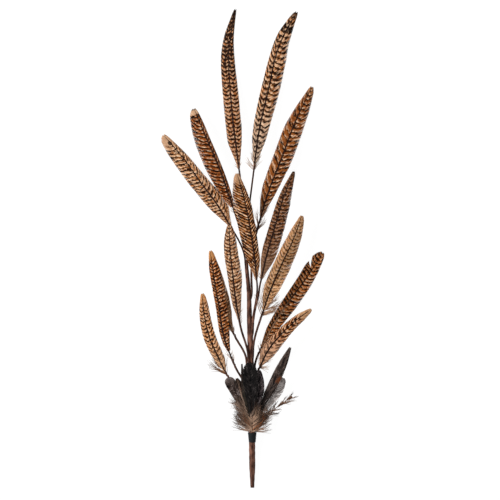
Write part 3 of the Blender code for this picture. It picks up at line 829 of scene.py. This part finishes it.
HACKLES = {
    "front_black": dict(
        splits=((1, 0.72, 0.2, 0.0012),), down_high=0.18, down=srgb(182, 148, 124), rust=0.8,
        glint=0.12),
    "right_black": dict(light=srgb(90, 79, 80), down_high=0.2, glint=0.75),
    "right_slender": dict(
        start=0.12, down_high=0.15, down_count=60, dark=srgb(12, 9, 9), light=srgb(88, 73, 66),
        glint=0.4, deep=(0.25, 0.6), brown_to=(0.08, 0.18),
        patches=((0.62, 0.035, srgb(104, 58, 34)),)),
    "right_grey": dict(
        down_high=0.3,
        dark=srgb(124, 114, 110), light=srgb(226, 218, 214), glint=0.6, brown_to=(0.1, 0.25),
        tip_share=0.6, tip_colour=srgb(104, 92, 88), start=0.36, splits=((1, 0.7, 0.2, 0.0015),)),
    "right_brown": dict(
        dark=srgb(84, 58, 42), light=srgb(118, 84, 62), start=0.9, down_high=0.97,
        down_count=90, down_reach=0.014, spread=22, down=srgb(140, 104, 82)),
    "back_right": dict(dark=srgb(50, 38, 32), light=srgb(78, 60, 50)),
    "back_left": dict(dark=srgb(46, 36, 30), light=srgb(74, 58, 48)),
    "left_brown": dict(
        dark=srgb(20, 15, 14), light=srgb(76, 62, 56), glint=0.5, tip_share=0.6,
        tip_colour=srgb(120, 108, 104), brown_to=(0.18, 0.36)),
    "left_sliver": dict(dark=srgb(30, 24, 22), light=srgb(54, 42, 36), down_count=70),
    "left_green": dict(
        dark=srgb(22, 24, 22), light=srgb(52, 44, 36), patches=((0.75, 0.08, srgb(74, 48, 32)),)),
}

for number, (name, own) in enumerate(HACKLES.items()):
    look = {**SOFT, **own}
    rng = np.random.default_rng(HACKLE_SEED + number)
    blade = read_blade(f"collar_{name}", HACKLE_SLICES)
    groups = []
    for side in (-1, 1):
        groups.append(vane_barbs(blade, side, look["start"], rng, look["ragged"],
                                 look["splits"], HACKLE_PITCH))
        groups.append(loose_barbs(blade, side, look["down_count"], 0.0, look["down_high"],
                                  look["down_reach"], look["spread"], DOWN_DROOP, rng,
                                  DOWN_GAUGE, DOWN_LIFT))
    barbs = grow_barbs(blade, groups, HACKLE_CAMBER, HACKLE_THICK)
    share = np.linspace(0, 1, HACKLE_RINGS)
    radius = np.ravel(read_off(blade["radius"], share)) * (1 - 0.8 * ease(share, 0.8, 1)) * 0.7
    shaft = grow_tube(read_off(blade["middle"], share), radius, plain, HACKLE_SIDES)
    hackle = joined(f"hackle_{name}", [barbs, shaft])
    hackle.data.materials.append(
        hackle_material(f"silky_{name}", number * HACKLE_PATTERN, blade["length"], look))
    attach(hackle, "root")
    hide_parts(f"collar_{name}")

# ---------------------------------------------------------------------------------------
# Binding. Black cord wound tight round the quills of the collar, in turns that lie side
# by side.

WINDINGS = 9
CORD_RINGS = 90
CORD_SIDES = 48
CORD_PAST = 0.001          # how much further up the stem it runs than the CAD solid
CORD_DARK = srgb(14, 16, 17)
CORD_LIGHT = srgb(44, 47, 49)


def wound(turn, along):
    """How the cord shapes the binding: a groove between two turns, and a slight wander."""
    groove = np.abs(np.cos(np.pi * WINDINGS * along + turn / 2)) ** 3
    return 1 - 0.075 * groove + 0.012 * np.sin(3 * turn + along * 31)


middle, radius = read_tube("main_stem", STEM_SLICES)
low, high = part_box("binding")
inside = (middle[:, 1] > low.y) & (middle[:, 1] < high.y + CORD_PAST)
core = read_off(middle[inside], np.linspace(0, 1, CORD_RINGS))
width = np.linspace(0.88, 1.12, CORD_RINGS) * (high.x - low.x) / 2
cord = joined("cord_wrap", [grow_tube(core, width, wound, CORD_SIDES, (0.0, 1.0))])
cord.data.shade_smooth()
cord_black, shader, dye = new_material("binding_black", 0.7, 0.12)
place = dye.node("ShaderNodeTexCoord", {}, {}, 3)
twist = place.cloud(1900.0, 2.0)
wire_up(dye, shader, twist.rise(0.3, 0.75).blend(CORD_DARK, CORD_LIGHT), twist, 0.5, 0.0002)
cord.data.materials.append(cord_black)
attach(cord, "root")
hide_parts("binding")

# ---------------------------------------------------------------------------------------
# The plain white floor it lies on, which glows so that it stays white, soft light from the
# upper left, and the camera that looks straight down from far off.

FLOOR_SIZE = 6.0           # from its middle to each edge
FLOOR_DROP = 0.0004        # how far the floor lies below the spray
FRAME_MIDDLE = (0.0107, -0.0032)   # the point of the floor in the middle of the picture
FRAME_HEIGHT = 0.7306      # how much of the floor the picture takes in
LENS = 210.0

bm = bmesh.new()
bmesh.ops.create_grid(bm, x_segments=1, y_segments=1, size=FLOOR_SIZE)
bmesh.ops.translate(bm, vec=(0, 0, -FLOOR_DROP), verts=bm.verts)
floor_mesh = bpy.data.meshes.new("floor")
bm.to_mesh(floor_mesh)
bm.free()
floor = bpy.data.objects.new("floor", floor_mesh)
bpy.context.scene.collection.objects.link(floor)
floor_white, shader, dye = new_material("floor_white", 0.9, 0.1)
shader.inputs["Base Color"].default_value = (0.1, 0.1, 0.1, 1)
shader.inputs["Emission Color"].default_value = (1, 1, 1, 1)
shader.inputs["Emission Strength"].default_value = 0.95
floor_mesh.materials.append(floor_white)

world = bpy.data.worlds.new("studio")
world.use_nodes = True
world.node_tree.nodes["Background"].inputs["Color"].default_value = (1, 1, 1, 1)
world.node_tree.nodes["Background"].inputs["Strength"].default_value = 0.28
bpy.context.scene.world = world


def soft_box(name, place, size, watts):
    """A square light that faces the spray."""
    lamp = bpy.data.lights.new(name, "AREA")
    lamp.size = size
    lamp.energy = watts
    made = bpy.data.objects.new(name, lamp)
    made.location = place
    made.rotation_euler = (-Vector(place)).to_track_quat("-Z", "Y").to_euler()
    bpy.context.scene.collection.objects.link(made)


soft_box("key_light", (-2.0, 0.7, 1.6), 0.8, 84)
soft_box("fill_light", (0.6, -0.3, 2.8), 1.8, 14)

lens = bpy.data.cameras.new("camera")
lens.sensor_width = 36.0
lens.lens = LENS
lens.clip_end = 50.0
camera = bpy.data.objects.new("camera", lens)
camera.location = (*FRAME_MIDDLE, FRAME_HEIGHT * LENS / lens.sensor_width)
bpy.context.scene.collection.objects.link(camera)
bpy.context.scene.camera = camera
bpy.context.scene.view_settings.view_transform = "Standard"
